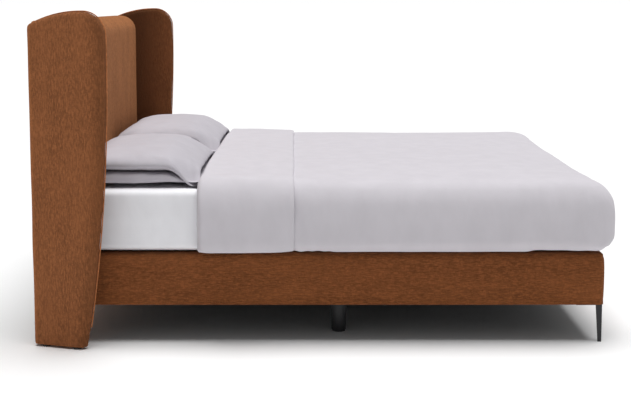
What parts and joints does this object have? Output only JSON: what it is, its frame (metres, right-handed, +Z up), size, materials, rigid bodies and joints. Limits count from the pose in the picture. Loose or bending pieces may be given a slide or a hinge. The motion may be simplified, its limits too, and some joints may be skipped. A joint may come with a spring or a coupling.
{
  "type": "box spring bed",
  "caption": "Upholstered double box spring bed with a flared wing headboard, a lift-off mattress, a duvet and stacked pillows.",
  "frame": {"origin": "on the floor, under the middle of the whole bed", "axes": "+X from the headboard to the foot, +Y across the bed, +Z up"},
  "size_m": [2.1924, 2.0814, 1.25],
  "materials": {
    "chenille": "brushed chenille, soft short pile",
    "foam": "cut polyurethane foam",
    "wadding": "bonded polyester wadding and felt",
    "softwood": "planed spruce",
    "plywood": "raw plywood",
    "hardboard": "smooth hardboard",
    "black_cloth": "spunbonded polypropylene cloth",
    "spring_wire": "drawn steel wire",
    "zinc_steel": "zinc-plated steel",
    "black_steel": "black powder coat, matt",
    "black_plastic": "moulded black plastic",
    "pocket_springs": "pocketed coils in white fleece",
    "ticking": "quilted knit",
    "white_cotton": "white cotton percale",
    "lilac_cotton": "washed cotton, pale lilac grey"
  },
  "bodies": {
    "bed_frame": {"headboard_cover": "chenille", "wing_cover_near": "chenille", "wing_cover_far": "chenille", "base_cover": "chenille", "headboard_foam": "foam", "wing_foam_near": "foam", "wing_foam_far": "foam", "base_top_foam": "foam", "base_side_wadding": "wadding", "spring_felt": "wadding", "headboard_rails": "softwood", "headboard_studs": "softwood", "headboard_spacers": "softwood", "base_side_rail_near": "softwood", "base_side_rail_far": "softwood", "base_head_rail": "softwood", "base_foot_rail": "softwood", "base_ledgers": "softwood", "base_centre_beam": "softwood", "base_cross_bearers": "softwood", "base_corner_blocks": "softwood", "base_slats": "softwood", "headboard_front_board": "plywood", "wing_board_near": "plywood", "wing_board_far": "plywood", "headboard_back_board": "hardboard", "headboard_back_cloth": "black_cloth", "base_dust_cloth": "black_cloth", "base_platform_cloth": "black_cloth", "coil_springs": "spring_wire", "coil_tie_rods": "spring_wire", "spring_border_wire": "spring_wire", "wing_bolts": "zinc_steel", "headboard_bolts": "zinc_steel", "foot_leg_screws": "zinc_steel", "support_leg_studs": "zinc_steel", "foot_leg_near": "black_steel", "foot_leg_far": "black_steel", "wing_glides": "black_plastic", "foot_leg_tips": "black_plastic", "support_legs": "black_plastic", "support_leg_pads": "black_plastic"},
    "mattress": {"mattress_spring_core": "pocket_springs", "mattress_top_foam": "foam", "mattress_base_foam": "foam", "mattress_cover": "ticking", "fitted_sheet": "white_cotton"},
    "duvet": {"duvet": "lilac_cotton"},
    "lower_pillow_near": {"lower_pillow_near": "lilac_cotton"},
    "lower_pillow_far": {"lower_pillow_far": "lilac_cotton"},
    "upper_pillow_near": {"upper_pillow_near": "lilac_cotton"},
    "upper_pillow_far": {"upper_pillow_far": "lilac_cotton"}
  },
  "joints": [
    {"name": "mattress_lift", "type": "slide", "parent": "bed_frame", "child": "mattress", "axis": [0, 0, 1], "range_m": [0, 0.32]},
    {"name": "duvet_lift", "type": "slide", "parent": "mattress", "child": "duvet", "axis": [0, 0, 1], "range_m": [0, 0.32]},
    {"name": "lower_pillow_near_lift", "type": "slide", "parent": "mattress", "child": "lower_pillow_near", "axis": [0, 0, 1], "range_m": [0, 0.2]},
    {"name": "lower_pillow_far_lift", "type": "slide", "parent": "mattress", "child": "lower_pillow_far", "axis": [0, 0, 1], "range_m": [0, 0.2]},
    {"name": "upper_pillow_near_lift", "type": "slide", "parent": "lower_pillow_near", "child": "upper_pillow_near", "axis": [0, 0, 1], "range_m": [0, 0.2]},
    {"name": "upper_pillow_far_lift", "type": "slide", "parent": "lower_pillow_far", "child": "upper_pillow_far", "axis": [0, 0, 1], "range_m": [0, 0.2]}
  ]
}
